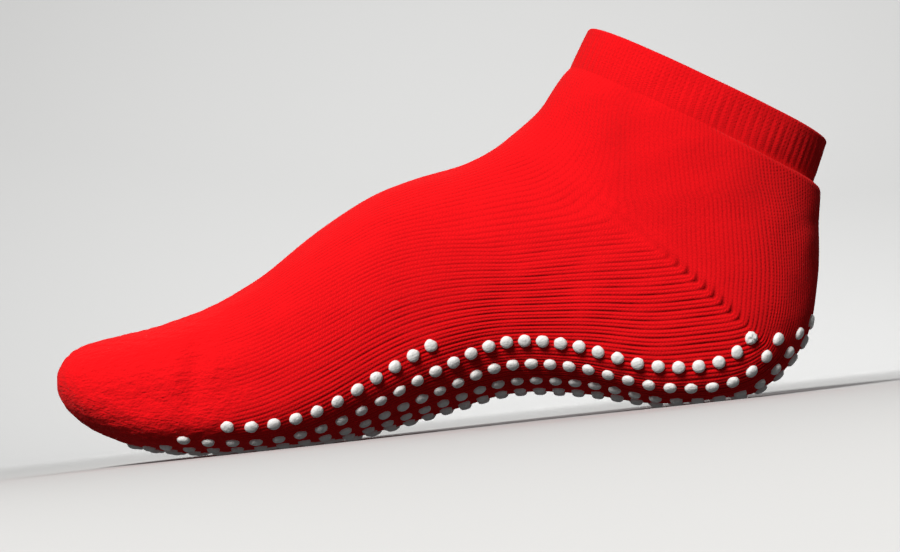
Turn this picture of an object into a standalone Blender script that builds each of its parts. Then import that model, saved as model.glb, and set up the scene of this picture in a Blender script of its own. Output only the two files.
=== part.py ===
"""A knitted slipper sock for a right foot, standing empty in its worn form.

The toe points along -X, the heel along +X, and the inner side of the foot faces -Y. The knit is one
hollow shell from the toe to the ankle with the grip dots of its sole fused on. The ribbed cuff is a
second hollow ring that carries the shell's form on to the collar. The origin is on the floor, under
the middle of the whole sock.
"""

import math
from collections import namedtuple

import bmesh
import bpy
import numpy as np
from mathutils import Matrix, Vector
from mathutils.bvhtree import BVHTree

# Driving sizes in metres

FOOT_LENGTH = 0.250
BALL_WIDTH = 0.097
HEEL_WIDTH = 0.066
COLLAR_WIDTH = 0.063
INSTEP_HEIGHT = 0.082
COLLAR_FRONT_HEIGHT = 0.1268
COLLAR_BACK_HEIGHT = 0.0803
COLLAR_DIP = 0.002

KNIT_WALL = 0.0020
CUFF_WALL = 0.0026
CUFF_CLEARANCE = 0.0003

DOT_DIAMETER = 0.0042
DOT_HEIGHT = 0.0010
DOT_PITCH = 0.0064
ROW_PITCH = 0.0093
DOTS_START = 0.0330

# How finely the knit and the dots are faceted

KNIT_SIDES = 28
KNIT_SECTIONS = 28
TURN_EFFORT = 0.030
CUFF_SIDES = 36
DOT_SIDES = 5
DOT_TOP_SHARE = 0.70
DOT_ROOT = 0.0008

# A section is a closed loop through a point on the top and a point on the sole. Places along the foot
# are shares of FOOT_LENGTH from the heel. Heights in the foot are shares of INSTEP_HEIGHT, and in the
# leg the top is a share of the rise from the instep to the collar's front, and the back a share of
# COLLAR_BACK_HEIGHT. Half widths and the crown's lean are shares of the width that the table follows.
# The widest height is a share of the section, and a turn of 2 is elliptical and 3 is squarer.

Section = namedtuple(
    "Section",
    "top_at top_up sole_at sole_up inner outer widest inner_turn outer_turn top_turn lean dip",
)

FOOT_SECTIONS = [
    Section(1.000, 0.335, 1.000, 0.335, -0.216, -0.216, 0.50, 2.0, 2.0, 2.00, 0.000, 0.0),
    Section(0.996, 0.405, 0.996, 0.260, -0.330, -0.103, 0.50, 2.0, 2.0, 2.00, 0.000, 0.0),
    Section(0.981, 0.457, 0.982, 0.190, -0.392, 0.010, 0.50, 2.0, 2.0, 2.00, -0.010, 0.0),
    Section(0.956, 0.485, 0.956, 0.125, -0.433, 0.124, 0.47, 2.2, 2.0, 2.00, -0.031, 0.0),
    Section(0.916, 0.504, 0.916, 0.062, -0.464, 0.247, 0.45, 2.5, 2.0, 2.00, -0.062, 0.0),
    Section(0.864, 0.527, 0.864, 0.020, -0.487, 0.351, 0.40, 2.8, 2.1, 2.00, -0.093, 0.0),
    Section(0.800, 0.576, 0.800, -0.004, -0.501, 0.433, 0.36, 3.0, 2.2, 2.00, -0.113, 0.0),
    Section(0.732, 0.673, 0.732, -0.015, -0.503, 0.479, 0.32, 3.0, 2.2, 1.90, -0.113, 0.0),
    Section(0.660, 0.817, 0.660, -0.011, -0.479, 0.485, 0.30, 2.6, 2.3, 1.85, -0.103, 0.0),
    Section(0.588, 0.939, 0.584, 0.022, -0.423, 0.464, 0.32, 2.2, 2.2, 1.85, -0.093, 0.0),
    Section(0.520, 1.009, 0.504, 0.066, -0.366, 0.428, 0.36, 2.1, 2.1, 1.90, -0.082, 0.0),
]

HEEL_SECTIONS = [
    Section(0.456, 0.080, 0.416, 0.110, -0.485, 0.565, 0.38, 2.1, 2.1, 1.95, -0.090, 0.0),
    Section(0.412, 0.170, 0.320, 0.072, -0.485, 0.520, 0.36, 2.3, 2.2, 2.00, -0.060, 0.0),
    Section(0.380, 0.275, 0.208, -0.013, -0.508, 0.515, 0.33, 3.0, 2.4, 2.00, -0.030, 0.0),
    Section(0.358, 0.370, 0.112, -0.006, -0.515, 0.521, 0.33, 3.0, 2.4, 2.00, 0.000, 0.0),
    Section(0.340, 0.460, 0.034, 0.172, -0.520, 0.524, 0.38, 2.4, 2.3, 2.00, 0.000, 0.0),
    Section(0.326, 0.550, 0.003, 0.448, -0.517, 0.521, 0.44, 2.1, 2.1, 2.00, 0.000, 0.2),
    Section(0.314, 0.625, -0.007, 0.660, -0.506, 0.509, 0.48, 2.0, 2.0, 2.00, 0.000, 0.5),
    Section(0.304, 0.685, -0.013, 0.777, -0.491, 0.494, 0.50, 2.0, 2.0, 2.00, 0.000, 0.8),
]

COLLAR_SECTIONS = [
    Section(0.2960, 0.727, -0.009, 0.826, -0.506, 0.510, 0.50, 2.0, 2.0, 2.00, 0.000, 1.0),
    Section(0.2860, 0.820, -0.014, 0.884, -0.502, 0.505, 0.50, 2.0, 2.0, 2.00, 0.000, 1.0),
    Section(0.2656, 1.000, -0.031, 1.000, -0.498, 0.502, 0.50, 2.0, 2.0, 2.00, 0.000, 1.0),
]

CUFF_STARTS_AT = len(FOOT_SECTIONS) + len(HEEL_SECTIONS)
LAST_SECTION = CUFF_STARTS_AT + len(COLLAR_SECTIONS) - 1

# The cuff's wall is a profile carried round the ankle: how far up the cuff and how deep in its wall

RimPoint = namedtuple("RimPoint", "up depth")

CUFF_PROFILE = [
    RimPoint(0.00, 0.00),
    RimPoint(0.45, 0.00),
    RimPoint(0.95, 0.00),
    RimPoint(1.00, 0.22),
    RimPoint(1.00, 0.78),
    RimPoint(0.95, 1.00),
    RimPoint(0.45, 1.00),
    RimPoint(0.00, 1.00),
]

# Each row of dots runs along the sole, counted from the middle one, between two courses

DotRow = namedtuple("DotRow", "offset first last")

DOT_ROWS = [
    DotRow(0, 0, 35),
    DotRow(1, 0, 35),
    DotRow(2, 1, 34),
    DotRow(3, 2, 33),
    DotRow(4, 3, 32),
    DotRow(5, 5, 15),
]

# The worn knit carries the dots apart along the foot, by shares of DOT_PITCH from course to course

DotSpread = namedtuple("DotSpread", "course spread")

DOT_SPREADS = [
    DotSpread(0, 1.00),
    DotSpread(4, 1.20),
    DotSpread(8, 1.06),
    DotSpread(13, 0.99),
    DotSpread(24, 1.00),
    DotSpread(30, 1.11),
    DotSpread(35, 1.09),
]

Finish = namedtuple("Finish", "colour roughness metallic")

RED_KNIT = Finish((0.80, 0.010, 0.014), 0.92, 0.0)
RED_RIB = Finish((0.74, 0.009, 0.012), 0.90, 0.0)


def clear_scene():
    for thing in list(bpy.data.objects):
        bpy.data.objects.remove(thing, do_unlink=True)


def collection(name):
    made = bpy.data.collections.new(name)
    bpy.context.scene.collection.children.link(made)
    return made


def material(name, finish):
    made = bpy.data.materials.new(name)
    made.use_nodes = True
    shader = made.node_tree.nodes["Principled BSDF"]
    shader.inputs["Base Color"].default_value = (*finish.colour, 1.0)
    shader.inputs["Roughness"].default_value = finish.roughness
    shader.inputs["Metallic"].default_value = finish.metallic
    made.diffuse_color = (*finish.colour, 1.0)
    return made


def sized_sections():
    """Every section in metres, as one array with the columns of Section."""
    rise = COLLAR_FRONT_HEIGHT - INSTEP_HEIGHT
    sized = []
    for row in FOOT_SECTIONS:
        sized.append(row._replace(
            top_at=row.top_at * FOOT_LENGTH,
            top_up=row.top_up * INSTEP_HEIGHT,
            sole_at=row.sole_at * FOOT_LENGTH,
            sole_up=row.sole_up * INSTEP_HEIGHT,
            inner=row.inner * BALL_WIDTH,
            outer=row.outer * BALL_WIDTH,
            lean=row.lean * BALL_WIDTH,
            dip=row.dip * COLLAR_DIP,
        ))
    for rows, width in ((HEEL_SECTIONS, HEEL_WIDTH), (COLLAR_SECTIONS, COLLAR_WIDTH)):
        for row in rows:
            sized.append(row._replace(
                top_at=row.top_at * FOOT_LENGTH,
                top_up=INSTEP_HEIGHT + row.top_up * rise,
                sole_at=row.sole_at * FOOT_LENGTH,
                sole_up=row.sole_up * COLLAR_BACK_HEIGHT,
                inner=row.inner * width,
                outer=row.outer * width,
                lean=row.lean * width,
                dip=row.dip * COLLAR_DIP,
            ))
    return np.array(sized)


SECTIONS = sized_sections()


def section_at(place):
    """The section at a place along the table, on a smooth curve through its rows."""
    below = int(min(max(math.floor(place), 0), LAST_SECTION - 1))
    share = place - below
    before = SECTIONS[max(below - 1, 0)]
    start = SECTIONS[below]
    end = SECTIONS[below + 1]
    after = SECTIONS[min(below + 2, LAST_SECTION)]
    leave = (end - before) / 2
    arrive = (after - start) / 2
    cube = share ** 3
    square = share ** 2
    curve = (
        (2 * cube - 3 * square + 1) * start
        + (cube - 2 * square + share) * leave
        + (3 * square - 2 * cube) * end
        + (cube - square) * arrive
    )
    return Section(*curve)


def half_loop(section, side):
    """Closely set points up one side of a section, from the sole to the top."""
    turns = np.linspace(0, math.pi, 121)
    across = np.abs(np.sin(turns))
    along = np.cos(turns)
    middle = (section.inner + section.outer) / 2
    edge = section.inner if side < 0 else section.outer
    low_turn = section.inner_turn if side < 0 else section.outer_turn
    turn = np.where(along > 0, low_turn, section.top_turn)
    reach = np.abs(along) ** (2 / turn)
    up = np.where(along > 0, section.widest * (1 - reach), section.widest + (1 - section.widest) * reach)
    lean = section.lean * np.clip((up - section.widest) / (1 - section.widest), 0, 1) ** 1.5
    width = middle + (edge - middle) * across ** (2 / turn) + lean
    at = section.sole_at + (section.top_at - section.sole_at) * up
    height = section.sole_up + (section.top_up - section.sole_up) * up - section.dip * across ** 2
    points = np.stack([FOOT_LENGTH / 2 - at, width, np.maximum(height, 0.0)], axis=1)
    girth = np.concatenate([[0], np.cumsum(np.linalg.norm(np.diff(points, axis=0), axis=1))])
    return points, girth


def along_girth(points, girth, wanted):
    return np.stack([np.interp(wanted, girth, points[:, axis]) for axis in range(3)], axis=1)


def loop_at(place, sides):
    """Points set evenly up both sides of the section at a place, as a closed loop."""
    section = section_at(place)
    halves = []
    for side in (-1, 1):
        points, girth = half_loop(section, side)
        halves.append(along_girth(points, girth, np.linspace(0, girth[-1], sides // 2 + 1)))
    inner, outer = halves
    return np.vstack([inner, outer[-2:0:-1]])


def point_on_knit(place, distance):
    """The point at a distance round the girth from the sole's middle, outer side positive."""
    points, girth = half_loop(section_at(place), 1 if distance > 0 else -1)
    return along_girth(points, girth, [abs(distance)])[0]


def knit_places(last):
    """Places of the knit's loops, closer together where the sole's line turns."""
    fine = np.linspace(0, last, 600)
    rows = np.array([section_at(place) for place in fine])
    along = np.diff(rows[:, 2])
    up = np.diff(rows[:, 3])
    turn = np.abs(np.diff(np.unwrap(np.arctan2(up, along))))
    effort = np.hypot(along, up)
    effort[1:] += TURN_EFFORT * turn
    run = np.concatenate([[0], np.cumsum(effort)])
    return np.interp(np.linspace(0, run[-1], KNIT_SECTIONS), run, fine)


def seam_gap(first, last):
    """How much of a place step CUFF_CLEARANCE takes at the cuff's lower edge."""
    near = section_at(first)
    far = section_at(last)
    back = math.hypot(far.sole_at - near.sole_at, far.sole_up - near.sole_up)
    front = math.hypot(far.top_at - near.top_at, far.top_up - near.top_up)
    return (last - first) * CUFF_CLEARANCE / min(back, front)


def knit_shell_mesh():
    """The knit's outer surface, open at the ankle, as rings of faces behind a closed toe."""
    gap = seam_gap(CUFF_STARTS_AT, CUFF_STARTS_AT + 0.5)
    places = knit_places(CUFF_STARTS_AT - gap)
    model = bmesh.new()
    tip = model.verts.new(loop_at(0, KNIT_SIDES)[0])
    loops = []
    for place in places[1:]:
        loops.append([model.verts.new(point) for point in loop_at(place, KNIT_SIDES)])
    for side in range(KNIT_SIDES):
        following = (side + 1) % KNIT_SIDES
        model.faces.new((tip, loops[0][side], loops[0][following]))
        for near, far in zip(loops, loops[1:]):
            model.faces.new((near[side], far[side], far[following], near[following]))
    bmesh.ops.recalc_face_normals(model, faces=model.faces)
    mesh = bpy.data.meshes.new("knit_foot")
    model.to_mesh(mesh)
    model.free()
    return mesh


def cuff_mesh():
    """The cuff's wall profile carried round the ankle as one closed ring."""
    model = bmesh.new()
    step = 0.25
    loops = []
    for rim in CUFF_PROFILE:
        place = CUFF_STARTS_AT + rim.up * (LAST_SECTION - CUFF_STARTS_AT)
        outer = loop_at(place, CUFF_SIDES)
        rise = loop_at(min(place + step, LAST_SECTION), CUFF_SIDES) - loop_at(place - step, CUFF_SIDES)
        around = np.roll(outer, -1, axis=0) - np.roll(outer, 1, axis=0)
        inward = np.cross(rise, around)
        inward /= np.linalg.norm(inward, axis=1)[:, None]
        middle = outer.mean(axis=0)
        if np.sum(inward * (middle - outer)) < 0:
            inward = -inward
        depth = rim.depth * CUFF_WALL
        loops.append([model.verts.new(point) for point in outer + inward * depth])
    for near, far in zip(loops, loops[1:] + loops[:1]):
        for side in range(CUFF_SIDES):
            following = (side + 1) % CUFF_SIDES
            model.faces.new((near[side], far[side], far[following], near[following]))
    bmesh.ops.recalc_face_normals(model, faces=model.faces)
    mesh = bpy.data.meshes.new("rib_cuff")
    model.to_mesh(mesh)
    model.free()
    return mesh


def dot_runs():
    """How far along the sole's middle each course of dots lies from the toe's tip."""
    courses = np.arange(max(row.last for row in DOT_ROWS))
    table = np.array(DOT_SPREADS)
    spreads = np.interp(courses + 0.5, table[:, 0], table[:, 1])
    return DOTS_START + DOT_PITCH * np.concatenate([[0], np.cumsum(spreads)])


def sole_places(distances):
    """Places whose point on the sole's middle lies at each distance from the toe's tip."""
    fine = np.linspace(0, CUFF_STARTS_AT, 800)
    rows = np.array([section_at(place) for place in fine])
    height = np.maximum(rows[:, 3], 0.0)
    run = np.concatenate([[0], np.cumsum(np.hypot(np.diff(rows[:, 2]), np.diff(height)))])
    return np.interp(distances, run, fine)


def dot_frame(facets, place, distance):
    """A frame with its origin on the knit's facets and its Z pointing out of them."""
    point, normal, _, _ = facets.find_nearest(Vector(point_on_knit(place, distance)))
    turn = normal.to_track_quat("Z", "X").to_matrix().to_4x4()
    return Matrix.Translation(point) @ turn


def dots_mesh(knit):
    """All grip dots as short tapered pegs, rooted in the knit's wall and pressed level by the floor."""
    corners = [vertex.co for vertex in knit.vertices]
    facets = BVHTree.FromPolygons(corners, [tuple(face.vertices) for face in knit.polygons])
    sink = Matrix.Translation((0, 0, (DOT_HEIGHT - DOT_ROOT) / 2))
    model = bmesh.new()
    places = sole_places(dot_runs())
    for row in DOT_ROWS:
        sides = (-1, 1) if row.offset else (1,)
        for place in places[row.first:row.last + 1]:
            for side in sides:
                frame = dot_frame(facets, place, side * row.offset * ROW_PITCH)
                bmesh.ops.create_cone(
                    model,
                    cap_ends=True,
                    segments=DOT_SIDES,
                    radius1=DOT_DIAMETER / 2,
                    radius2=DOT_DIAMETER / 2 * DOT_TOP_SHARE,
                    depth=DOT_HEIGHT + DOT_ROOT,
                    matrix=frame @ sink,
                )
    for corner in model.verts:
        corner.co.z = max(corner.co.z, -DOT_HEIGHT)
    mesh = bpy.data.meshes.new("dots")
    model.to_mesh(mesh)
    model.free()
    return mesh


def place_object(name, mesh, home, parent):
    made = bpy.data.objects.new(name, mesh)
    home.objects.link(made)
    made.parent = parent
    return made


def knit_foot(home, guides, parent):
    foot = place_object("knit_foot", knit_shell_mesh(), home, parent)
    foot.data.materials.append(material("red_knit", RED_KNIT))
    wall = foot.modifiers.new("wall", "SOLIDIFY")
    wall.thickness = KNIT_WALL
    wall.offset = -1.0
    wall.use_even_offset = True
    dots = place_object("grip_dots", dots_mesh(foot.data), guides, parent)
    dots.hide_render = True
    dots.display_type = "WIRE"
    grip = foot.modifiers.new("grip", "BOOLEAN")
    grip.operation = "UNION"
    grip.solver = "EXACT"
    grip.object = dots
    foot.data.shade_smooth()
    foot.data.set_sharp_from_angle(angle=math.radians(35))
    return foot


def rib_cuff(home, parent):
    cuff = place_object("rib_cuff", cuff_mesh(), home, parent)
    cuff.data.materials.append(material("red_rib", RED_RIB))
    cuff.data.shade_smooth()
    cuff.data.set_sharp_from_angle(angle=math.radians(35))
    return cuff


def stand_on_floor(frame, parts):
    """Moves the frame so that the parts stand on the floor with their middle over the origin."""
    bpy.context.view_layer.update()
    graph = bpy.context.evaluated_depsgraph_get()
    corners = []
    for part in parts:
        seen = part.evaluated_get(graph)
        corners += [part.matrix_world @ Vector(corner) for corner in seen.bound_box]
    corners = np.array([tuple(corner) for corner in corners])
    low = corners.min(axis=0)
    high = corners.max(axis=0)
    frame.location = (-(low[0] + high[0]) / 2, -(low[1] + high[1]) / 2, -low[2])
    bpy.context.view_layer.update()


def main():
    clear_scene()
    home = collection("slipper_sock")
    guides = collection("guides")
    frame = bpy.data.objects.new("sock_frame", None)
    home.objects.link(frame)
    parts = [knit_foot(home, guides, frame), rib_cuff(home, frame)]
    stand_on_floor(frame, parts)


main()
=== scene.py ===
"""The looks of a knitted slipper sock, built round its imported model.

The knit is laid out wale by wale: every column of its mesh follows one ridge or one groove of the
knitting, from the toe along the foot, round the heel's gore and up the leg into the ribbed cuff.
Lengths are metres, the toe points along -X and the inner side of the foot faces -Y.
"""

import math
from collections import namedtuple

import bpy
import numpy as np
from mathutils import Matrix, Vector


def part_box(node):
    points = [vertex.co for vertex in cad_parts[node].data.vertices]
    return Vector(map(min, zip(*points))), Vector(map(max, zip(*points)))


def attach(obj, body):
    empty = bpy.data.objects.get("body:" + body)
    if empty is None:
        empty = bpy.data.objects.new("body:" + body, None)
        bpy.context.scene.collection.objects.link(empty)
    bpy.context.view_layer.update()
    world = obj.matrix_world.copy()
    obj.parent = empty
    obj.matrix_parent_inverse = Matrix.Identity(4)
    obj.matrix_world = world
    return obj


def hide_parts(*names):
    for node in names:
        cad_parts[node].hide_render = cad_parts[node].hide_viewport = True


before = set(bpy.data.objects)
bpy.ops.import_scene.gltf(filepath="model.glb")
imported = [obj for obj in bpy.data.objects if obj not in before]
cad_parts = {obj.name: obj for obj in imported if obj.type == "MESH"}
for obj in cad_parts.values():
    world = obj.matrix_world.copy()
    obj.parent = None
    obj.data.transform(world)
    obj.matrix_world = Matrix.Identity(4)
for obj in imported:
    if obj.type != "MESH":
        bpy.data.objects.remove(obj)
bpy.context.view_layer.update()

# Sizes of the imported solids, repeated here because this script reads nothing but the frame

FOOT_LENGTH = 0.250
BALL_WIDTH = 0.097
HEEL_WIDTH = 0.066
COLLAR_WIDTH = 0.063
INSTEP_HEIGHT = 0.082
COLLAR_FRONT_HEIGHT = 0.1268
COLLAR_BACK_HEIGHT = 0.0803
COLLAR_DIP = 0.002
KNIT_WALL = 0.0020
CUFF_WALL = 0.0026
DOT_DIAMETER = 0.0042
DOT_HEIGHT = 0.0010
DOT_PITCH = 0.0064
ROW_PITCH = 0.0093
DOTS_START = 0.0330

Section = namedtuple(
    "Section",
    "top_at top_up sole_at sole_up inner outer widest inner_turn outer_turn top_turn lean dip",
)
SOLE_AT = Section._fields.index("sole_at")
SOLE_UP = Section._fields.index("sole_up")

FOOT_SECTIONS = [
    Section(1.000, 0.335, 1.000, 0.335, -0.216, -0.216, 0.50, 2.0, 2.0, 2.00, 0.000, 0.0),
    Section(0.996, 0.405, 0.996, 0.260, -0.330, -0.103, 0.50, 2.0, 2.0, 2.00, 0.000, 0.0),
    Section(0.981, 0.457, 0.982, 0.190, -0.392, 0.010, 0.50, 2.0, 2.0, 2.00, -0.010, 0.0),
    Section(0.956, 0.485, 0.956, 0.125, -0.433, 0.124, 0.47, 2.2, 2.0, 2.00, -0.031, 0.0),
    Section(0.916, 0.504, 0.916, 0.062, -0.464, 0.247, 0.45, 2.5, 2.0, 2.00, -0.062, 0.0),
    Section(0.864, 0.527, 0.864, 0.020, -0.487, 0.351, 0.40, 2.8, 2.1, 2.00, -0.093, 0.0),
    Section(0.800, 0.576, 0.800, -0.004, -0.501, 0.433, 0.36, 3.0, 2.2, 2.00, -0.113, 0.0),
    Section(0.732, 0.673, 0.732, -0.015, -0.503, 0.479, 0.32, 3.0, 2.2, 1.90, -0.113, 0.0),
    Section(0.660, 0.817, 0.660, -0.011, -0.479, 0.485, 0.30, 2.6, 2.3, 1.85, -0.103, 0.0),
    Section(0.588, 0.939, 0.584, 0.022, -0.423, 0.464, 0.32, 2.2, 2.2, 1.85, -0.093, 0.0),
    Section(0.520, 1.009, 0.504, 0.066, -0.366, 0.428, 0.36, 2.1, 2.1, 1.90, -0.082, 0.0),
]

HEEL_SECTIONS = [
    Section(0.456, 0.080, 0.416, 0.110, -0.485, 0.565, 0.38, 2.1, 2.1, 1.95, -0.090, 0.0),
    Section(0.412, 0.170, 0.320, 0.072, -0.485, 0.520, 0.36, 2.3, 2.2, 2.00, -0.060, 0.0),
    Section(0.380, 0.275, 0.208, -0.013, -0.508, 0.515, 0.33, 3.0, 2.4, 2.00, -0.030, 0.0),
    Section(0.358, 0.370, 0.112, -0.006, -0.515, 0.521, 0.33, 3.0, 2.4, 2.00, 0.000, 0.0),
    Section(0.340, 0.460, 0.034, 0.172, -0.520, 0.524, 0.38, 2.4, 2.3, 2.00, 0.000, 0.0),
    Section(0.326, 0.550, 0.003, 0.448, -0.517, 0.521, 0.44, 2.1, 2.1, 2.00, 0.000, 0.2),
    Section(0.314, 0.625, -0.007, 0.660, -0.506, 0.509, 0.48, 2.0, 2.0, 2.00, 0.000, 0.5),
    Section(0.304, 0.685, -0.013, 0.777, -0.491, 0.494, 0.50, 2.0, 2.0, 2.00, 0.000, 0.8),
]

COLLAR_SECTIONS = [
    Section(0.2960, 0.727, -0.009, 0.826, -0.506, 0.510, 0.50, 2.0, 2.0, 2.00, 0.000, 1.0),
    Section(0.2860, 0.820, -0.014, 0.884, -0.502, 0.505, 0.50, 2.0, 2.0, 2.00, 0.000, 1.0),
    Section(0.2656, 1.000, -0.031, 1.000, -0.498, 0.502, 0.50, 2.0, 2.0, 2.00, 0.000, 1.0),
]

CUFF_STARTS_AT = len(FOOT_SECTIONS) + len(HEEL_SECTIONS)
LAST_SECTION = CUFF_STARTS_AT + len(COLLAR_SECTIONS) - 1

DotRow = namedtuple("DotRow", "offset first last")

DOT_ROWS = [
    DotRow(0, 0, 35),
    DotRow(1, 0, 35),
    DotRow(2, 1, 34),
    DotRow(3, 2, 33),
    DotRow(4, 3, 32),
    DotRow(5, 5, 15),
]

# The worn knit carries the dots apart along the foot, by shares of DOT_PITCH from course to course

DotSpread = namedtuple("DotSpread", "course spread")

DOT_SPREADS = [
    DotSpread(0, 1.00),
    DotSpread(4, 1.20),
    DotSpread(8, 1.06),
    DotSpread(13, 0.99),
    DotSpread(24, 1.00),
    DotSpread(30, 1.11),
    DotSpread(35, 1.09),
]

# The knitting: wales are its ridges along the foot, courses its rows of stitches round it

HALF_WALES = 84
COLUMNS_PER_WALE = 4
HALF_COLUMNS = HALF_WALES * COLUMNS_PER_WALE
COLUMNS = 2 * HALF_COLUMNS
SOLE_WALE_PITCH = 0.00140
HEEL_WALE_PITCH = 0.00158
EDGE_WALES = 19.5
EDGE_RISE = 0.003
COURSE_PITCH = 0.0011
SECTION_STEPS = 361

# Where each knitted zone ends, as a place along the table of sections, and how close its rows lie

Zone = namedtuple("Zone", "name ends row_gap")

ZONES = [
    Zone("toe_knit", 5.90, 0.0009),
    Zone("foot_knit", 11.40, 0.0012),
    Zone("heel_knit", 15.60, 0.0010),
    Zone("leg_knit", float(CUFF_STARTS_AT), 0.0010),
]

LINING_STEP = 8

# Creases as they lie in side view. Places and heights are shares of FOOT_LENGTH and INSTEP_HEIGHT.
# A negative depth is a trough and a positive one a ridge, and side -1 is the inner side of the foot.

Crease = namedtuple("Crease", "side at_1 up_1 at_2 up_2 width depth")

CREASES = [
    Crease(-1, 0.802, 0.41, 0.816, 0.20, 0.0040, -0.00105),
    Crease(-1, 0.780, 0.40, 0.794, 0.22, 0.0036, 0.00040),
    Crease(-1, 0.828, 0.38, 0.838, 0.20, 0.0040, 0.00045),
    Crease(-1, 0.872, 0.30, 0.850, 0.14, 0.0030, -0.00030),
    Crease(-1, 0.915, 0.22, 0.870, 0.10, 0.0026, 0.00025),
    Crease(1, 0.835, 0.42, 0.800, 0.22, 0.0036, -0.00050),
    Crease(1, 0.800, 0.40, 0.770, 0.20, 0.0034, 0.00030),
    Crease(-1, 0.395, 0.98, 0.330, 0.80, 0.0050, -0.00040),
    Crease(1, 0.400, 1.00, 0.320, 0.78, 0.0048, -0.00050),
    Crease(1, 0.370, 1.06, 0.300, 0.90, 0.0046, 0.00030),
    Crease(-1, 0.040, 0.62, -0.012, 0.66, 0.0034, -0.00030),
    Crease(1, 0.050, 0.60, -0.012, 0.64, 0.0034, -0.00035),
]

# Where the wales turn at the heel's gore, and where they share out the girth instead

ARCH_FADE = (0.012, 0.060)
EDGE_REACH = 0.85
GORE_SOFTNESS = 0.4
GORE_END_SOFTNESS = 9.0
GORE_END_WALES = (54, 70)
SHARED_ON_TOP = (0.50, 0.95)
SHARED_BEFORE_ARCH = (8.5, 12.0)
SHARED_UP_LEG = (14.2, 18.8)

# How far the knitting, the gore and the lip under the cuff stand off the smooth knit

GROOVE_DEPTH = 0.00018
PAIR_GROOVE_DEPTH = 0.00019
TERRY_HEIGHT = 0.00008
UNEVEN_HEIGHT = 0.00012
PIT_DEPTH = 0.00070
GORE_LINE_DEPTH = 0.00010
GORE_RIDGE_HEIGHT = 0.00022
LIP_HEIGHT = 0.00060
END_TUCK = 0.00012
BACK_TUCK = 0.00160

# Where those forms fade in or out, as places along the table of sections

TOE_FADE = (5.8, 7.5)
GROOVES_DEEPEN = (8.0, 11.0)
BEHIND_GORE = (11.0, 13.0)
GORE_STARTS = (11.0, 12.5)
GORE_STOPS = (16.0, 17.0)
PAIRS_STOP = (16.5, 18.0)
LEG_STARTS = (15.5, 18.0)
LIP_AT = 18.45
LIP_SPAN = 0.42
TUCK_STARTS = (18.72, 19.0)

# Where they fade up each side, as shares of the girth from the sole or the leg's back

PAIRS_LOW = (0.03, 0.14)
PAIRS_HIGH = (0.42, 0.66)
GROOVES_LOW = (0.0, 0.08)
GROOVES_HIGH = (0.34, 0.62)
LIP_BACK = (0.16, 0.50)

# Where the gore's line and its pits fade, as wales from the sole's middle

GORE_FIRST_WALES = (30, 36)
GORE_LAST_WALES = (58, 66)
PITS_LAST_WALES = (45, 53)

# How far the gore's forms reach to either side of its line, in wales

GORE_LINE_REACH = 0.9
GORE_RIDGE_REACH = 1.3
GORE_RIDGE_AT = 2.2
PIT_REACH = 1.1
SMOOTH_BY_GORE = 2.6

# Powers that make the grooves between the wales narrow, and how much of a wale a pit takes

GROOVE_POWER = 0.7
PAIR_GROOVE_POWER = 0.55
PIT_LENGTH = 0.4


def smooth_step(low, high, value):
    share = np.clip((value - low) / (high - low), 0, 1)
    return share * share * (3 - 2 * share)


def bell(value):
    return np.exp(-value ** 2)


def sized_sections():
    """Every section in metres, as one array with the columns of Section."""
    rise = COLLAR_FRONT_HEIGHT - INSTEP_HEIGHT
    sized = []
    for row in FOOT_SECTIONS:
        sized.append(row._replace(
            top_at=row.top_at * FOOT_LENGTH,
            top_up=row.top_up * INSTEP_HEIGHT,
            sole_at=row.sole_at * FOOT_LENGTH,
            sole_up=row.sole_up * INSTEP_HEIGHT,
            inner=row.inner * BALL_WIDTH,
            outer=row.outer * BALL_WIDTH,
            lean=row.lean * BALL_WIDTH,
            dip=row.dip * COLLAR_DIP,
        ))
    for rows, width in ((HEEL_SECTIONS, HEEL_WIDTH), (COLLAR_SECTIONS, COLLAR_WIDTH)):
        for row in rows:
            sized.append(row._replace(
                top_at=row.top_at * FOOT_LENGTH,
                top_up=INSTEP_HEIGHT + row.top_up * rise,
                sole_at=row.sole_at * FOOT_LENGTH,
                sole_up=row.sole_up * COLLAR_BACK_HEIGHT,
                inner=row.inner * width,
                outer=row.outer * width,
                lean=row.lean * width,
                dip=row.dip * COLLAR_DIP,
            ))
    return np.array(sized)


SECTIONS = sized_sections()


def section_at(place):
    """The section at a place along the table, on a smooth curve through its rows."""
    below = int(min(max(math.floor(place), 0), LAST_SECTION - 1))
    share = place - below
    before = SECTIONS[max(below - 1, 0)]
    start = SECTIONS[below]
    end = SECTIONS[below + 1]
    after = SECTIONS[min(below + 2, LAST_SECTION)]
    leave = (end - before) / 2
    arrive = (after - start) / 2
    cube = share ** 3
    square = share ** 2
    curve = (
        (2 * cube - 3 * square + 1) * start
        + (cube - 2 * square + share) * leave
        + (3 * square - 2 * cube) * end
        + (cube - square) * arrive
    )
    return Section(*curve)


HalfLoop = namedtuple("HalfLoop", "points girth reach")


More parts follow.
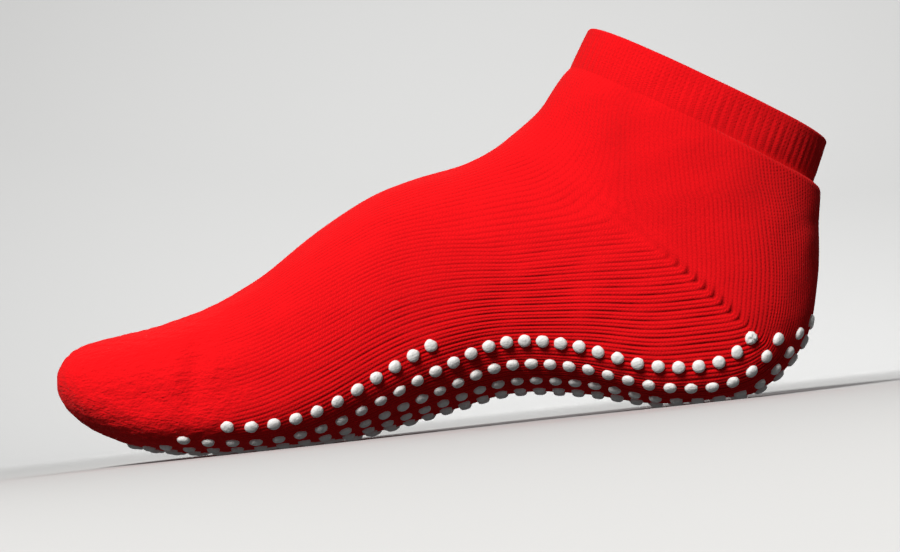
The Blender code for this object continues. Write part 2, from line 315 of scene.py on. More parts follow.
def half_loop(section, side):
    """Closely set points up one side of a section, from the sole to the top."""
    turns = np.linspace(0, math.pi, SECTION_STEPS)
    across = np.abs(np.sin(turns))
    along = np.cos(turns)
    middle = (section.inner + section.outer) / 2
    edge = section.inner if side < 0 else section.outer
    low_turn = section.inner_turn if side < 0 else section.outer_turn
    turn = np.where(along > 0, low_turn, section.top_turn)
    climb = np.abs(along) ** (2 / turn)
    low_up = section.widest * (1 - climb)
    high_up = section.widest + (1 - section.widest) * climb
    up = np.where(along > 0, low_up, high_up)
    lean = section.lean * np.clip((up - section.widest) / (1 - section.widest), 0, 1) ** 1.5
    reach = across ** (2 / turn)
    width = middle + (edge - middle) * reach + lean
    at = section.sole_at + (section.top_at - section.sole_at) * up
    height = section.sole_up + (section.top_up - section.sole_up) * up - section.dip * across ** 2
    rounding = 0.0004
    height = (height + np.sqrt(height ** 2 + rounding ** 2)) / 2
    points = np.stack([FOOT_LENGTH / 2 - at, width, height], axis=1)
    girth = np.concatenate([[0], np.cumsum(np.linalg.norm(np.diff(points, axis=0), axis=1))])
    return HalfLoop(points, girth, reach)


def along_girth(half, wanted):
    return np.stack([np.interp(wanted, half.girth, half.points[:, axis]) for axis in range(3)], axis=1)


def side_contours():
    """The sole's height along the foot and the back's place up the leg, for the heel's gore."""
    fine = np.linspace(0, CUFF_STARTS_AT, 900)
    rows = np.array([section_at(place) for place in fine])
    at = rows[:, SOLE_AT]
    up = np.maximum(rows[:, SOLE_UP], 0)
    heel_corner = 0.018
    levels = 401
    smoothed_over = 49
    sole = at > heel_corner
    back = (up > heel_corner) & (fine > len(FOOT_SECTIONS))
    level = np.linspace(0, FOOT_LENGTH, levels)
    height = np.interp(level, at[sole][::-1], up[sole][::-1])
    spread = np.hanning(smoothed_over)
    padded = np.pad(height, len(spread) // 2, mode="edge")
    height = np.convolve(padded, spread / spread.sum(), mode="valid")
    return (level, height), (up[back], at[back])


SOLE_LINE, BACK_LINE = side_contours()

WaleCount = namedtuple("WaleCount", "wales along_foot round_heel")


def wale_count(place, section, half):
    """Wales between the sole's middle and each point up one side of a section.

    Under the gore the wales run level with the sole, and behind it they run up the back of the heel.
    The lesser of the two counts turns each wale at the gore. Elsewhere the wales share out the girth.
    """
    share = half.girth / half.girth[-1]
    shared_out = HALF_WALES * share
    at = FOOT_LENGTH / 2 - half.points[:, 0]
    up = half.points[:, 2]
    arch = np.interp(at, *SOLE_LINE) * (1 - smooth_step(*ARCH_FADE, up))
    over_sole = up - arch - EDGE_RISE
    off_back = at - np.interp(up, *BACK_LINE) - EDGE_RISE
    low_half = SECTION_STEPS // 2
    edge = np.interp(EDGE_REACH, half.reach[:low_half], half.girth[:low_half])
    along_foot = EDGE_WALES + over_sole / SOLE_WALE_PITCH
    round_heel = EDGE_WALES + off_back / HEEL_WALE_PITCH
    fewer = np.minimum(along_foot, round_heel)
    softness = GORE_SOFTNESS + GORE_END_SOFTNESS * smooth_step(*GORE_END_WALES, fewer)
    gap = along_foot - round_heel
    turned = (along_foot + round_heel - np.sqrt(gap ** 2 + softness ** 2)) / 2
    at_edge = max(np.interp(edge, half.girth, turned), EDGE_WALES)
    turned = np.where(half.girth < edge, at_edge * half.girth / edge, np.maximum(turned, at_edge))
    evenly = np.maximum(smooth_step(*SHARED_ON_TOP, share), 1 - smooth_step(*SHARED_BEFORE_ARCH, place))
    evenly = np.maximum(evenly, smooth_step(*SHARED_UP_LEG, place))
    wales = turned + (shared_out - turned) * evenly
    wales = np.maximum.accumulate(wales) + share * 1e-6
    return WaleCount(wales * HALF_WALES / wales[-1], along_foot, round_heel)


Columns = namedtuple("Columns", "points share gore")

POINT_GIRTH = 1e-6
FAR_FROM_GORE = 99.0


def knit_row(place):
    """The points where the wale columns cross the section at a place, as a closed loop."""
    section = section_at(place)
    wanted = np.arange(HALF_COLUMNS + 1) / COLUMNS_PER_WALE
    halves = []
    for side in (-1, 1):
        half = half_loop(section, side)
        if half.girth[-1] < POINT_GIRTH:
            points = np.repeat(half.points[:1], HALF_COLUMNS + 1, axis=0)
            halves.append((points, wanted / HALF_WALES, np.full(HALF_COLUMNS + 1, FAR_FROM_GORE)))
            continue
        count = wale_count(place, section, half)
        girth = np.interp(wanted, count.wales, half.girth)
        gore = np.interp(girth, half.girth, count.along_foot - count.round_heel)
        halves.append((along_girth(half, girth), girth / half.girth[-1], gore))
    inner, outer = halves
    return Columns(*[np.concatenate([low, high[-2:0:-1]]) for low, high in zip(inner, outer)])


def column_wales():
    """The wale on which each column of a closed row lies, counted up both sides from the sole."""
    folded = np.concatenate([np.arange(HALF_COLUMNS + 1), np.arange(HALF_COLUMNS - 1, 0, -1)])
    return folded / COLUMNS_PER_WALE


def sole_run(steps):
    """Even places along the table, and how far along the sole's middle each of them lies."""
    fine = np.linspace(0, CUFF_STARTS_AT, steps)
    rows = np.array([section_at(place) for place in fine])
    gaps = np.hypot(np.diff(rows[:, SOLE_AT]), np.diff(np.maximum(rows[:, SOLE_UP], 0)))
    return fine, np.concatenate([[0], np.cumsum(gaps)])


def row_places():
    """Places of the knit's rows, zone by zone, and the row on which each zone starts."""
    fine, run = sole_run(2000)
    places = [0.0]
    starts = [0]
    for zone in ZONES:
        begins = np.interp(places[-1], fine, run)
        ends = np.interp(zone.ends, fine, run)
        count = max(2, round((ends - begins) / zone.row_gap))
        steps = np.linspace(begins, ends, count + 1)[1:]
        places += list(np.interp(steps, run, fine))
        starts.append(len(places) - 1)
    return np.array(places), starts


def outward(points):
    """Unit normals of a grid of rows whose columns close on themselves."""
    along = np.gradient(points, axis=0)
    around = np.roll(points, -1, axis=1) - np.roll(points, 1, axis=1)
    normals = np.cross(along, around)
    length = np.linalg.norm(normals, axis=2)[..., None]
    normals = np.where(length > 1e-14, normals / np.maximum(length, 1e-14), 0)
    # The first row is the toe's tip, or lies hidden in the wall below the cuff
    normals[0] = np.array([-1.0, 0.0, 0.0])
    return normals


def soft_noise(points, size, seed):
    """Smooth noise from -1 to 1 over points in space, made of slanting waves."""
    dice = np.random.default_rng(seed)
    waves = 14
    total = np.zeros(points.shape[:-1])
    for _ in range(waves):
        heading = dice.normal(size=3)
        heading /= np.linalg.norm(heading)
        scale = size * dice.uniform(0.7, 1.5)
        total += np.sin(points @ heading * 2 * math.pi / scale + dice.uniform(0, 2 * math.pi))
    return total / math.sqrt(waves) * 1.2


def unevenness(points):
    """The slow swell of worn knit, the same for the foot and the cuff where they meet."""
    return UNEVEN_HEIGHT * soft_noise(points, 0.016, 17)


def crease_depth(points):
    """The push of every crease on a grid of points."""
    at = (FOOT_LENGTH / 2 - points[..., 0]) / FOOT_LENGTH
    push = np.zeros(at.shape)
    for crease in CREASES:
        start = np.array([crease.at_1 * FOOT_LENGTH, crease.up_1 * INSTEP_HEIGHT])
        line = np.array([crease.at_2 * FOOT_LENGTH, crease.up_2 * INSTEP_HEIGHT]) - start
        here = np.stack([at * FOOT_LENGTH, points[..., 2]], axis=-1) - start
        share = np.clip(here @ line / (line @ line), 0, 1)
        away = np.linalg.norm(here - share[..., None] * line, axis=-1)
        faded = 0.35 + 0.65 * np.sin(math.pi * np.clip(share, 0.08, 0.92)) ** 0.7
        on_side = smooth_step(0.0, 0.012, crease.side * points[..., 1])
        push += crease.depth * faded * on_side * bell(away / crease.width)
    return push


Fades = namedtuple("Fades", "toe pair relief gore_line")


def knit_fades(smooth, share, gore, wale, place):
    """How strongly the toe's terry, both kinds of groove and the gore's line show at each point."""
    toe = 1 - smooth_step(*TOE_FADE, place + 0.35 * soft_noise(smooth, 0.012, 5))
    behind_gore = smooth_step(-2.0, 3.0, gore) * smooth_step(*BEHIND_GORE, place)
    gore_line = smooth_step(*GORE_STARTS, place) * (1 - smooth_step(*GORE_STOPS, place))
    gore_line = gore_line * smooth_step(*GORE_FIRST_WALES, wale)
    gore_line = gore_line * (1 - smooth_step(*GORE_LAST_WALES, wale))
    near_gore = gore_line * bell(gore / SMOOTH_BY_GORE)
    deepened = smooth_step(*GROOVES_DEEPEN, place)
    drawn_out = np.array([0.35, 1.0, 1.0])
    broken = 1 + 0.20 * soft_noise(smooth * drawn_out, 0.005, 23)

    pair = smooth_step(*PAIRS_LOW, share) * (1 - smooth_step(*PAIRS_HIGH, share))
    pair = pair * (0.35 + 0.65 * deepened) * (1 - 0.9 * behind_gore)
    pair = pair * (1 - toe) * (1 - smooth_step(*PAIRS_STOP, place))
    pair = pair * (1 - 0.80 * near_gore) * broken

    low_side = smooth_step(*GROOVES_LOW, share) * (1 - smooth_step(*GROOVES_HIGH, share))
    relief = 0.46 + 0.44 * low_side * (0.5 + 0.5 * deepened)
    relief = relief * (1 - 0.40 * behind_gore) * (1 - 0.85 * toe)
    relief = relief * (1 - 0.20 * smooth_step(*LEG_STARTS, place))
    relief = relief * (1 - 0.65 * near_gore) * broken
    return Fades(toe, pair, relief, gore_line)


Knit = namedtuple("Knit", "smooth normals outer wale course pair relief toe pit starts")


def knit_surface():
    """The knit's grid, with its wales, grooves, creases and lip raised in the mesh."""
    places, starts = row_places()
    rows = [knit_row(place) for place in places]
    smooth = np.array([row.points for row in rows])
    share = np.array([row.share for row in rows])
    gore = np.array([row.gore for row in rows])
    normals = outward(smooth)
    wale = np.broadcast_to(column_wales(), share.shape)
    steps = np.linalg.norm(np.diff(smooth, axis=0), axis=2)
    course = np.vstack([np.zeros(COLUMNS), np.cumsum(steps, axis=0)]) / COURSE_PITCH
    place = np.broadcast_to(places[:, None], share.shape)
    fades = knit_fades(smooth, share, gore, wale, place)

    groove = 1 - np.abs(np.sin(math.pi * wale)) ** GROOVE_POWER
    every_second = np.abs(np.sin(math.pi * wale / 2))
    deep = (1 - every_second ** PAIR_GROOVE_POWER) * fades.pair
    push = -GROOVE_DEPTH * groove * fades.relief - PAIR_GROOVE_DEPTH * deep
    push = push + TERRY_HEIGHT * fades.toe * soft_noise(smooth, 0.0030, 11) + unevenness(smooth)

    holes = (every_second < PIT_LENGTH) * (1 - smooth_step(*PITS_LAST_WALES, wale))
    pit = fades.gore_line * bell(gore / PIT_REACH) * holes
    ridge = fades.gore_line * bell((gore - GORE_RIDGE_AT) / GORE_RIDGE_REACH)
    line = fades.gore_line * bell(gore / GORE_LINE_REACH)
    push = push + GORE_RIDGE_HEIGHT * ridge - PIT_DEPTH * pit - GORE_LINE_DEPTH * line

    back = 1 - smooth_step(*LIP_BACK, share)
    push = push + LIP_HEIGHT * back * bell((place - LIP_AT) / LIP_SPAN)
    push = push - (END_TUCK + BACK_TUCK * back) * smooth_step(*TUCK_STARTS, place) ** 2
    push = push + crease_depth(smooth)
    outer = smooth + normals * push[..., None]
    return Knit(smooth, normals, outer, wale, course, fades.pair, fades.relief, fades.toe, pit, starts)


def grid_faces(first, rows, columns, inward=False):
    """Quads between the rows of a grid whose columns close on themselves."""
    row = np.arange(rows - 1)[:, None] * columns + first
    column = np.arange(columns)[None, :]
    following = (column + 1) % columns
    corners = [row + column, row + columns + column, row + columns + following, row + following]
    if inward:
        corners.reverse()
    return np.stack(corners, axis=-1).reshape(-1, 4)


def rim_faces(near, far, columns, inward=False):
    """Quads between two loops, given by the first vertex of each."""
    column = np.arange(columns)
    following = (column + 1) % columns
    corners = [near + column, far + column, far + following, near + following]
    if inward:
        corners.reverse()
    return np.stack(corners, axis=-1)


def mesh_piece(name, points, faces, values, material, sharp_from=70):
    """An object from points, faces and one named number for each point."""
    mesh = bpy.data.meshes.new(name)
    mesh.from_pydata(points.tolist(), [], [list(face) for face in faces])
    for label, numbers in values.items():
        attribute = mesh.attributes.new(label, "FLOAT", "POINT")
        attribute.data.foreach_set("value", np.ascontiguousarray(numbers, dtype=np.float32))
    mesh.materials.append(material)
    mesh.shade_smooth()
    mesh.set_sharp_from_angle(angle=math.radians(sharp_from))
    mesh.validate()
    piece = bpy.data.objects.new(name, mesh)
    bpy.context.scene.collection.objects.link(piece)
    return piece


def knit_zone(name, knit, first, last, shift, material):
    """One zone of the knit as a closed wall: fine rows outside, coarse rows inside."""
    rows = np.arange(first, last + 1)
    lining = np.unique(np.concatenate([np.arange(first, last, LINING_STEP), [last]]))
    inside = knit.smooth[lining] - knit.normals[lining] * KNIT_WALL
    if first == 0:
        tip = knit.smooth[0, 0] + np.array([KNIT_WALL, 0, 0])
        inside[0] = tip
    points = np.concatenate([knit.outer[rows].reshape(-1, 3), inside.reshape(-1, 3)]) + shift
    start_inside = len(rows) * COLUMNS
    faces = list(grid_faces(0, len(rows), COLUMNS))
    faces += list(grid_faces(start_inside, len(lining), COLUMNS, inward=True))
    end_inside = start_inside + (len(lining) - 1) * COLUMNS
    faces += list(rim_faces((len(rows) - 1) * COLUMNS, end_inside, COLUMNS))
    if first > 0:
        faces += list(rim_faces(0, start_inside, COLUMNS, inward=True))
    values = {}
    for label in ("wale", "course", "pair", "relief", "toe", "pit"):
        numbers = getattr(knit, label)
        values[label] = np.concatenate([numbers[rows].ravel(), numbers[lining].ravel()])
    piece = mesh_piece(name, points, faces, values, material)
    if first == 0:
        weld_tips(piece)
    return piece


def weld_tips(piece):
    """Joins the points that fall together at the toe's two tips."""
    weld = piece.modifiers.new("tips", "WELD")
    weld.merge_threshold = 0.000002
    bpy.context.view_layer.update()
    graph = bpy.context.evaluated_depsgraph_get()
    welded = bpy.data.meshes.new_from_object(piece.evaluated_get(graph))
    piece.modifiers.clear()
    piece.data = welded


RimPoint = namedtuple("RimPoint", "up depth ribbed")

CUFF_ROWS = 26
CUFF_RIM_ROWS = 7
CUFF_LINING_ROWS = 10
CUFF_HIDDEN = 0.12
CUFF_STRAIGHT = 0.92
CUFF_COURSES = 15
CUFF_GROOVES = 0.36
CUFF_BACK = (0.20, 0.60)
CUFF_TUCK = 0.0007
RIB_HEIGHT = 0.00031
RIB_WIDTH = 0.42
RIB_STRENGTHS = (0.20, 1.0)
SPLIT_DEPTH = 0.00005
SPLIT_POWER = 0.6
CUFF_SAMPLES = 60
CUFF_SAMPLED_BELOW = 0.3


def cuff_profile():
    """How far up the cuff, how deep in its wall and how strongly ribbed each row of it is."""
    profile = [
        RimPoint(-CUFF_HIDDEN, 0.30, 0.0),
        RimPoint(-0.08, 0.16, 0.0),
        RimPoint(-0.04, 0.07, 0.1),
    ]
    for up in np.linspace(0, CUFF_STRAIGHT, CUFF_ROWS):
        ribbed = 0.15 + 0.85 * smooth_step(0.0, 0.22, up) * (1 - smooth_step(0.72, 0.88, up))
        profile.append(RimPoint(up, 0.025 * (1 - smooth_step(0, 0.12, up)), ribbed))
    for turn in np.linspace(0, math.pi, CUFF_RIM_ROWS + 2)[1:-1]:
        up = CUFF_STRAIGHT + (1 - CUFF_STRAIGHT) * math.sin(turn)
        profile.append(RimPoint(up, 0.5 - 0.5 * math.cos(turn), 0.15))
    for up in np.linspace(CUFF_STRAIGHT, -CUFF_HIDDEN, CUFF_LINING_ROWS):
        profile.append(RimPoint(up, 1.0, 0.5))
    return profile


def cuff_relief(wale):
    """How far each column of the cuff stands off it: thin ribs of uneven strength, each one split."""
    dice = np.random.default_rng(19)
    strength = dice.uniform(*RIB_STRENGTHS, 2 * HALF_WALES)
    strength = strength[np.round(np.arange(COLUMNS) / COLUMNS_PER_WALE).astype(int) % len(strength)]
    rib = bell(np.sin(math.pi * wale / 2) / RIB_WIDTH) * strength
    split = 1 - np.abs(np.sin(math.pi * wale)) ** SPLIT_POWER
    return RIB_HEIGHT * rib - SPLIT_DEPTH * split


def cuff_piece(shift, material):
    """The ribbed cuff as one closed ring, folded over at its top."""
    fine = np.linspace(CUFF_STARTS_AT - CUFF_SAMPLED_BELOW, LAST_SECTION, CUFF_SAMPLES)
    sections = [knit_row(place) for place in fine]
    points = np.array([section.points for section in sections])
    normals = outward(points)
    wale = column_wales()
    ribs = cuff_relief(wale)
    back = 1 - smooth_step(*CUFF_BACK, sections[-1].share)
    made = []
    courses = []
    for rim in cuff_profile():
        place = CUFF_STARTS_AT + rim.up * (LAST_SECTION - CUFF_STARTS_AT)
        spot = np.interp(place, fine, np.arange(len(fine)))
        low = int(min(spot, len(fine) - 2))
        mix = spot - low
        here = points[low] * (1 - mix) + points[low + 1] * mix
        normal = normals[low] * (1 - mix) + normals[low + 1] * mix
        side = 1.0 if rim.depth < 0.5 else -1.0
        relief = ribs * rim.ribbed * side + unevenness(here)
        tuck = CUFF_TUCK * back * (1 - smooth_step(0.0, 0.55, rim.up))
        inset = rim.depth * CUFF_WALL + tuck
        made.append(here - normal * inset[:, None] + normal * relief[:, None])
        courses.append(np.full(COLUMNS, max(rim.up, 0.0) * CUFF_COURSES))
    rows = len(made)
    faces = list(grid_faces(0, rows, COLUMNS))
    faces += list(rim_faces((rows - 1) * COLUMNS, 0, COLUMNS))
    values = {
        "wale": np.tile(wale, rows),
        "course": np.concatenate(courses),
        "pair": np.zeros(rows * COLUMNS),
        "relief": np.full(rows * COLUMNS, CUFF_GROOVES),
        "toe": np.zeros(rows * COLUMNS),
        "pit": np.zeros(rows * COLUMNS),
    }
    return mesh_piece("rib_cuff_knit", np.concatenate(made) + shift, faces, values, material)


DOT_CROWN = 0.0013
DOT_SEGMENTS = 22
DOT_RINGS = 5
DOT_UNEVEN = 0.028
DOT_SUNK = 0.0006
DOT_TAIL = 0.14
DOT_TAIL_WIDTH = 0.25
DOTS_WITH_TAIL = 0.18
DOT_CROWN_SHARES = (0.88, 1.0)
DOT_ROUNDNESS = 0.72


def dot_runs():
    """How far along the sole's middle each course of dots lies from the toe's tip."""
    courses = np.arange(max(row.last for row in DOT_ROWS))
    table = np.array(DOT_SPREADS)
    spreads = np.interp(courses + 0.5, table[:, 0], table[:, 1])
    return DOTS_START + DOT_PITCH * np.concatenate([[0], np.cumsum(spreads)])


def sole_places(distances):
    """Places whose point on the sole's middle lies at each distance from the toe's tip."""
    fine, run = sole_run(800)
    return np.interp(distances, run, fine)


def dot_seat(place, distance):
    """The point and the outward normal of the smooth knit under a dot."""
    side = 1 if distance > 0 else -1
    reach = abs(distance)
    step = 0.0015
    here = half_loop(section_at(place), side)
    fore = half_loop(section_at(max(place - 0.05, 0.01)), side)
    aft = half_loop(section_at(place + 0.05), side)
    middle = along_girth(here, [reach])[0]
    around = along_girth(here, [reach + step])[0] - along_girth(here, [max(reach - step, 0)])[0]
    along = along_girth(aft, [reach])[0] - along_girth(fore, [reach])[0]
    normal = np.cross(along, around) * -side
    return middle, normal / np.linalg.norm(normal), along / np.linalg.norm(along)


def dot_shape(dice, rough):
    """One dot as rings of points round its own axis: a low dome with an uneven edge."""
    turns = np.linspace(0, 2 * math.pi, DOT_SEGMENTS, endpoint=False)
    edge = np.ones(DOT_SEGMENTS)
    for waves in (2, 3, 5):
        swing = dice.normal() * DOT_UNEVEN / math.sqrt(waves - 1)
        edge += swing * np.sin(waves * turns + dice.uniform(0, 6.3))
    if rough:
        edge += 0.10 * np.abs(np.sin(4.5 * turns)) - 0.05
    elif dice.uniform() < DOTS_WITH_TAIL:
        tail = dice.uniform(0, 6.3)
        from_tail = np.mod(turns - tail + math.pi, 2 * math.pi) - math.pi
        edge += DOT_TAIL * bell(from_tail / DOT_TAIL_WIDTH)
    tall = dice.uniform(*DOT_CROWN_SHARES)
    rings = []
    for share in np.linspace(0, 1, DOT_RINGS + 1)[:-1]:
        lift = math.sin(share * math.pi / 2)
        shrink = math.cos(share * math.pi / 2) ** DOT_ROUNDNESS
        radius = DOT_DIAMETER / 2 * shrink * (1 + (edge - 1) * (1 - share))
        height = np.full(DOT_SEGMENTS, DOT_CROWN * tall * lift)
        if rough:
            height = height * (1 + 0.25 * np.sin(3 * turns + share * 5) * share)
        rings.append(np.stack([radius * np.cos(turns), radius * np.sin(turns), height], axis=1))
    base = rings[0].copy()
    base[:, 2] = -DOT_SUNK
    top = np.array([[0, 0, DOT_CROWN * tall * (0.86 if rough else 1.0)]])
    return np.concatenate([base] + rings + [top])


def dot_faces(first):
    rings = DOT_RINGS + 1
    faces = [[int(i) for i in face] for face in grid_faces(first, rings, DOT_SEGMENTS, inward=True)]
    last = first + (rings - 1) * DOT_SEGMENTS
    top = first + rings * DOT_SEGMENTS
    for segment in range(DOT_SEGMENTS):
        following = (segment + 1) % DOT_SEGMENTS
        faces.append([last + segment, last + following, top])
    faces.append([first + segment for segment in reversed(range(DOT_SEGMENTS))])
    return faces


ROUGH_DOT = (4, 32, -1)


def grip_dots(shift, material):
    """Every grip dot, seated on the knit and pressed level where it meets the floor."""
    dice = np.random.default_rng(7)
    points = []
    faces = []
    tint = []
    count = 0
    places = sole_places(dot_runs())
    for row in DOT_ROWS:
        sides = (-1, 1) if row.offset else (1,)
        for course in range(row.first, row.last + 1):
            for side in sides:
                middle, normal, along = dot_seat(places[course], side * row.offset * ROW_PITCH)
                across = np.cross(normal, along)
                shape = dot_shape(dice, (row.offset, course, side) == ROUGH_DOT)
                dot = middle + shape @ np.stack([along, across, normal])
                dot[:, 2] = np.maximum(dot[:, 2], -DOT_HEIGHT)
                points.append(dot)
                faces += dot_faces(count)
                tint.append(np.full(len(shape), dice.uniform(0, 1)))
                count += len(shape)
    values = {"tint": np.concatenate(tint)}
    return mesh_piece("grip_dots", np.concatenate(points) + shift, faces, values, material, 60)


class Nodes:
    """Short forms for building one material's nodes."""

    def __init__(self, name):
        self.material = bpy.data.materials.new(name)
        self.material.use_nodes = True
        self.tree = self.material.node_tree
        self.shader = self.tree.nodes["Principled BSDF"]

    def put(self, socket, value):
        if isinstance(value, bpy.types.NodeSocket):
            self.tree.links.new(value, socket)
        else:
            socket.default_value = value

    def number(self, operation, *values, clamp=False):
        node = self.tree.nodes.new("ShaderNodeMath")
        node.operation = operation
        node.use_clamp = clamp
        for socket, value in zip(node.inputs, values):
            self.put(socket, value)
        return node.outputs[0]

    def attribute(self, name):
        node = self.tree.nodes.new("ShaderNodeAttribute")
        node.attribute_name = name
        return node.outputs["Fac"]

    def noise(self, size, detail, roughness, stretch=None):
        node = self.tree.nodes.new("ShaderNodeTexNoise")
        where = self.tree.nodes.new("ShaderNodeTexCoord").outputs["Object"]
        if stretch:
            mapping = self.tree.nodes.new("ShaderNodeMapping")
            mapping.inputs["Scale"].default_value = stretch
            self.tree.links.new(where, mapping.inputs["Vector"])
            where = mapping.outputs["Vector"]
        self.tree.links.new(where, node.inputs["Vector"])
        node.inputs["Scale"].default_value = 1 / size
        node.inputs["Detail"].default_value = detail
        node.inputs["Roughness"].default_value = roughness
        return node.outputs["Fac"]

    def spread(self, value, low, high, to_low, to_high):
        """A value carried from one range over to another."""
        node = self.tree.nodes.new("ShaderNodeMapRange")
        self.put(node.inputs["Value"], value)
        node.inputs["From Min"].default_value = low
        node.inputs["From Max"].default_value = high
        node.inputs["To Min"].default_value = to_low
        node.inputs["To Max"].default_value = to_high
        return node.outputs["Result"]

    def weighed(self, *pairs):
        """The sum of several values, each times its own weight."""
        terms = [self.number("MULTIPLY", value, weight) for value, weight in pairs]
        total = terms[0]
        for term in terms[1:]:
            total = self.number("ADD", total, term)
        return total

    def mix(self, share, first, second):
        node = self.tree.nodes.new("ShaderNodeMix")
        node.data_type = "RGBA"
        self.put(node.inputs["Factor"], share)
        colours = [socket for socket in node.inputs if socket.type == "RGBA"]
        self.put(colours[0], first)
        self.put(colours[1], second)
        return [socket for socket in node.outputs if socket.type == "RGBA"][0]

    def bump(self, height, distance):
        node = self.tree.nodes.new("ShaderNodeBump")
        node.inputs["Strength"].default_value = 1.0
        node.inputs["Distance"].default_value = distance
        self.put(node.inputs["Height"], height)
        return node.outputs["Normal"]

    def finish(self, colour, normal, roughness, sheen, specular):
        self.put(self.shader.inputs["Base Color"], colour)
        self.put(self.shader.inputs["Normal"], normal)
        self.shader.inputs["Roughness"].default_value = roughness
        self.shader.inputs["Specular IOR Level"].default_value = specular
        self.shader.inputs["Sheen Weight"].default_value = sheen
        self.shader.inputs["Sheen Roughness"].default_value = 0.6
        self.shader.inputs["Sheen Tint"].default_value = (1.0, 0.30, 0.28, 1.0)
        return self.material


FUZZ_SIZE = 0.00055
TUFT_SIZE = 0.0021
PATCH_SIZE = 0.022
TERRY_LOOP_SIZE = 0.0016
KNIT_BUMP = 0.00022
STITCH_SLANT = 1.1
GROOVE_SHADE_POWER = 0.6
PAIR_SHADE_POWER = 0.45


def knit_material(name, light, dark, deep_share, stitch_share):
    """Fuzzy red knit: grooves between the wales, stitches along them and loose fibre all over. Its
    colour is darkened as painted shade in the grooves, in the deeper grooves between pairs of wales, in
    the gore's pits and in the hollows between the stitches.
    """
    nodes = Nodes(name)
    wale = nodes.attribute("wale")
    toe = nodes.attribute("toe")
    ridge = nodes.number("ABSOLUTE", nodes.number("SINE", nodes.number("MULTIPLY", wale, math.pi)))
    groove = nodes.number("SUBTRACT", 1.0, nodes.number("POWER", ridge, GROOVE_SHADE_POWER))
    groove = nodes.number("MULTIPLY", groove, nodes.attribute("relief"))
    half = nodes.number("ABSOLUTE", nodes.number("SINE", nodes.number("MULTIPLY", wale, math.pi / 2)))
    deep = nodes.number("SUBTRACT", 1.0, nodes.number("POWER", half, PAIR_SHADE_POWER))
    deep = nodes.number("MULTIPLY", deep, nodes.attribute("pair"))
    leg = nodes.number("PINGPONG", wale, 0.5)
    slant = nodes.number("ADD", nodes.attribute("course"), nodes.number("MULTIPLY", leg, STITCH_SLANT))
    stitch = nodes.number("SINE", nodes.number("MULTIPLY", slant, 2 * math.pi))
    plain = nodes.number("SUBTRACT", 1.0, toe)
    stitch = nodes.number("MULTIPLY", stitch, nodes.number("MULTIPLY", plain, stitch_share))
    fuzz = nodes.noise(FUZZ_SIZE, 4.0, 0.65)
    tufts = nodes.noise(TUFT_SIZE, 3.0, 0.6)
    patches = nodes.noise(PATCH_SIZE, 2.0, 0.5)
    loops = nodes.noise(TERRY_LOOP_SIZE, 2.0, 0.5, (1.0, 1.0, 1.9))
    terry = nodes.number("MULTIPLY", loops, toe)

    height = nodes.weighed(
        (groove, -0.85),
        (deep, -1.3 * deep_share),
        (stitch, 0.16),
        (fuzz, 0.90),
        (terry, 2.4),
        (tufts, 0.35),
    )
    # Painted shade: the colour darkens towards the dark colour in the grooves, the pair grooves and the
    # gore's pits, where the bump alone would cast no shade
    shade = nodes.weighed((groove, 0.55), (deep, 0.60 * deep_share), (nodes.attribute("pit"), 0.80))
    shade = nodes.number("ADD", shade, nodes.spread(fuzz, 0.3, 0.7, 0.20, -0.10))
    # Painted shade: the colour is a little darker in the hollows between the stitches and lighter on
    # their crests
    shade = nodes.number("ADD", shade, nodes.spread(stitch, -1.0, 1.0, 0.05, -0.05))
    shade = nodes.number("ADD", shade, nodes.spread(patches, 0.3, 0.7, 0.03, -0.03), clamp=True)
    colour = nodes.mix(shade, (*light, 1.0), (*dark, 1.0))
    normal = nodes.bump(height, KNIT_BUMP)
    return nodes.finish(colour, normal, roughness=0.92, sheen=0.085, specular=0.06)


def dot_material():
    """White silicone, a little yellow in places, with a soft skin."""
    white = (0.95, 0.94, 0.92, 1.0)
    yellowed = (0.89, 0.88, 0.85, 1.0)
    soiled = (0.76, 0.73, 0.70, 1.0)
    grain_size = 0.0009
    grain_bump = 0.00030
    nodes = Nodes("white_silicone")
    tint = nodes.attribute("tint")
    grain = nodes.noise(grain_size, 3.0, 0.6)
    colour = nodes.mix(nodes.number("MULTIPLY", tint, 0.6), white, yellowed)
    colour = nodes.mix(nodes.spread(grain, 0.4, 0.75, 0.0, 0.35), colour, soiled)
    normal = nodes.bump(grain, grain_bump)
    return nodes.finish(colour, normal, roughness=0.50, sheen=0.0, specular=0.35)


def plain_material(name, colour, roughness):
    nodes = Nodes(name)
    nodes.shader.inputs["Base Color"].default_value = (*colour, 1.0)
    nodes.shader.inputs["Roughness"].default_value = roughness
    nodes.shader.inputs["Specular IOR Level"].default_value = 0.1
    return nodes.material


def studio_floor():
    """A round pale floor that sweeps up into a wall on every side."""
    flat_radius = 1.6
    bend_radius = 1.6
    wall_top = 3.6
    sides = 96
    bend_steps = 25
    line = [(0.25, 0.0), (0.7, 0.0), (flat_radius, 0.0)]
    for turn in np.linspace(0, math.pi / 2, bend_steps)[1:]:
        line.append((flat_radius + bend_radius * math.sin(turn), bend_radius * (1 - math.cos(turn))))
    line.append((flat_radius + bend_radius, wall_top))
    points = [(0.0, 0.0, 0.0)]
    for radius, height in line:
        for side in range(sides):
            angle = 2 * math.pi * side / sides
            points.append((radius * math.cos(angle), radius * math.sin(angle), height))
    faces = [(0, 1 + side, 1 + (side + 1) % sides) for side in range(sides)]
    faces += [tuple(int(i) for i in face) for face in grid_faces(1, len(line), sides)]
    mesh = bpy.data.meshes.new("floor")
    mesh.from_pydata(points, [], faces)
    mesh.materials.append(plain_material("pale_floor", (0.56, 0.56, 0.555), 0.9))
    mesh.shade_smooth()
    floor = bpy.data.objects.new("floor", mesh)
    bpy.context.scene.collection.objects.link(floor)
    # The floor throws no light back, so that the underside stays as dark as in the photograph
    floor.visible_diffuse = False


Lamp = namedtuple("Lamp", "name place target size power colour spread")

WHITE = (1.0, 1.0, 1.0)
SOCK_MIDDLE = (0.0, 0.0, 0.05)

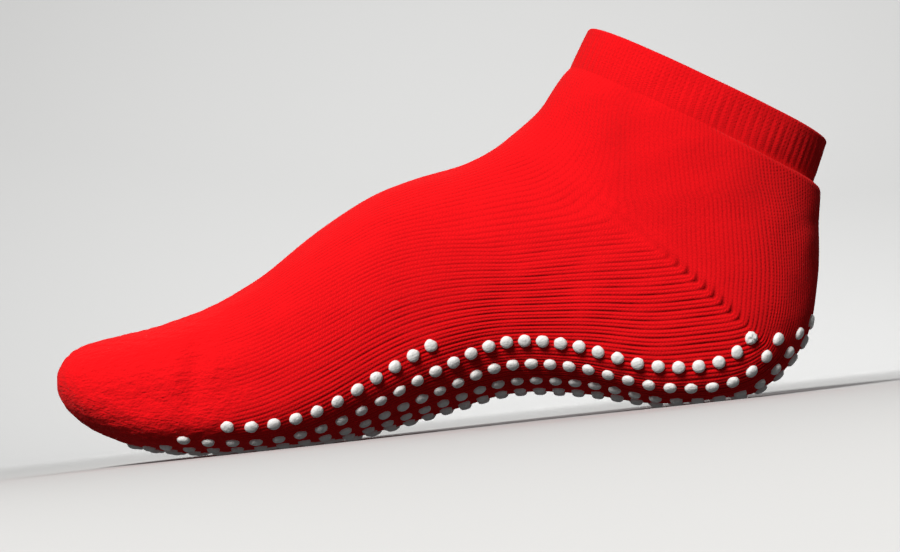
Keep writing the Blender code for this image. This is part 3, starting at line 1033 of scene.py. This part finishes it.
LAMPS = [
    Lamp("key", (-0.62, -1.72, 1.52), SOCK_MIDDLE, 0.8, 70.0, (1.0, 0.99, 0.975), 180),
    Lamp("fill", (0.55, 1.50, 1.30), SOCK_MIDDLE, 1.2, 13.0, WHITE, 180),
    Lamp("backdrop", (0.0, 1.0, 2.5), (0.0, 2.7, 0.1), 1.6, 27.0, WHITE, 104),
]

SKY_STRENGTH = 0.07


def studio_light():
    for lamp in LAMPS:
        data = bpy.data.lights.new(lamp.name, "AREA")
        data.shape = "DISK"
        data.size = lamp.size
        data.energy = lamp.power
        data.color = lamp.colour
        data.spread = math.radians(lamp.spread)
        light = bpy.data.objects.new(lamp.name, data)
        light.location = lamp.place
        aim = Vector(lamp.target) - Vector(lamp.place)
        light.rotation_euler = aim.to_track_quat("-Z", "Y").to_euler()
        bpy.context.scene.collection.objects.link(light)
    world = bpy.data.worlds.new("studio")
    world.use_nodes = True
    sky = world.node_tree.nodes["Background"]
    sky.inputs["Color"].default_value = (0.95, 0.97, 1.0, 1.0)
    sky.inputs["Strength"].default_value = SKY_STRENGTH
    bpy.context.scene.world = world


CAMERA_TARGET = Vector((0.0, 0.0, 0.0508))
CAMERA_DISTANCE = 0.75
CAMERA_AZIMUTH = math.radians(2.5)
CAMERA_ELEVATION = math.radians(-3.4)
CAMERA_ROLL = math.radians(6.2)
CAMERA_LENS = 90.2


def studio_camera():
    """The photograph's side view, rolled so that the toe hangs low, and just above the floor."""
    back = Vector((
        math.sin(CAMERA_AZIMUTH) * math.cos(CAMERA_ELEVATION),
        -math.cos(CAMERA_AZIMUTH) * math.cos(CAMERA_ELEVATION),
        math.sin(CAMERA_ELEVATION),
    ))
    level = Vector((0, 0, 1)).cross(back).normalized()
    upright = back.cross(level)
    right = level * math.cos(CAMERA_ROLL) - upright * math.sin(CAMERA_ROLL)
    up = upright * math.cos(CAMERA_ROLL) + level * math.sin(CAMERA_ROLL)
    turn = Matrix((right, up, back)).transposed()
    data = bpy.data.cameras.new("camera")
    data.lens = CAMERA_LENS
    data.sensor_width = 36.0
    data.clip_start = 0.01
    data.clip_end = 50.0
    camera = bpy.data.objects.new("camera", data)
    camera.matrix_world = Matrix.Translation(CAMERA_TARGET + back * CAMERA_DISTANCE) @ turn.to_4x4()
    bpy.context.scene.collection.objects.link(camera)
    bpy.context.scene.camera = camera


def frame_shift(knit):
    """What moves the knit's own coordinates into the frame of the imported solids."""
    low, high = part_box("knit_foot")
    ends = knit.smooth.reshape(-1, 3)
    across = (low.y + high.y) / 2 - (ends[:, 1].min() + ends[:, 1].max()) / 2
    return np.array([low.x + FOOT_LENGTH / 2, across, DOT_HEIGHT])


def dress(piece, node):
    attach(piece, "root")
    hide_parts(node)


def main():
    bpy.context.scene.view_settings.view_transform = "Standard"
    studio_camera()
    studio_floor()
    studio_light()
    # Each knit's dark colour is mostly painted shade for its grooves, pits and stitch hollows. Its fuzz
    # and patches also mix a little towards it at random.
    red_knit = knit_material(
        "red_knit",
        light=(0.86, 0.0046, 0.0080),
        dark=(0.28, 0.001, 0.002),
        deep_share=0.5,
        stitch_share=1.0,
    )
    red_rib = knit_material(
        "red_rib",
        light=(0.84, 0.0044, 0.0076),
        dark=(0.26, 0.001, 0.002),
        deep_share=0.35,
        stitch_share=0.8,
    )
    knit = knit_surface()
    shift = frame_shift(knit)
    for zone, first, last in zip(ZONES, knit.starts, knit.starts[1:]):
        dress(knit_zone(zone.name, knit, first, last, shift, red_knit), "knit_foot")
    dress(cuff_piece(shift, red_rib), "rib_cuff")
    dress(grip_dots(shift, dot_material()), "knit_foot")


main()
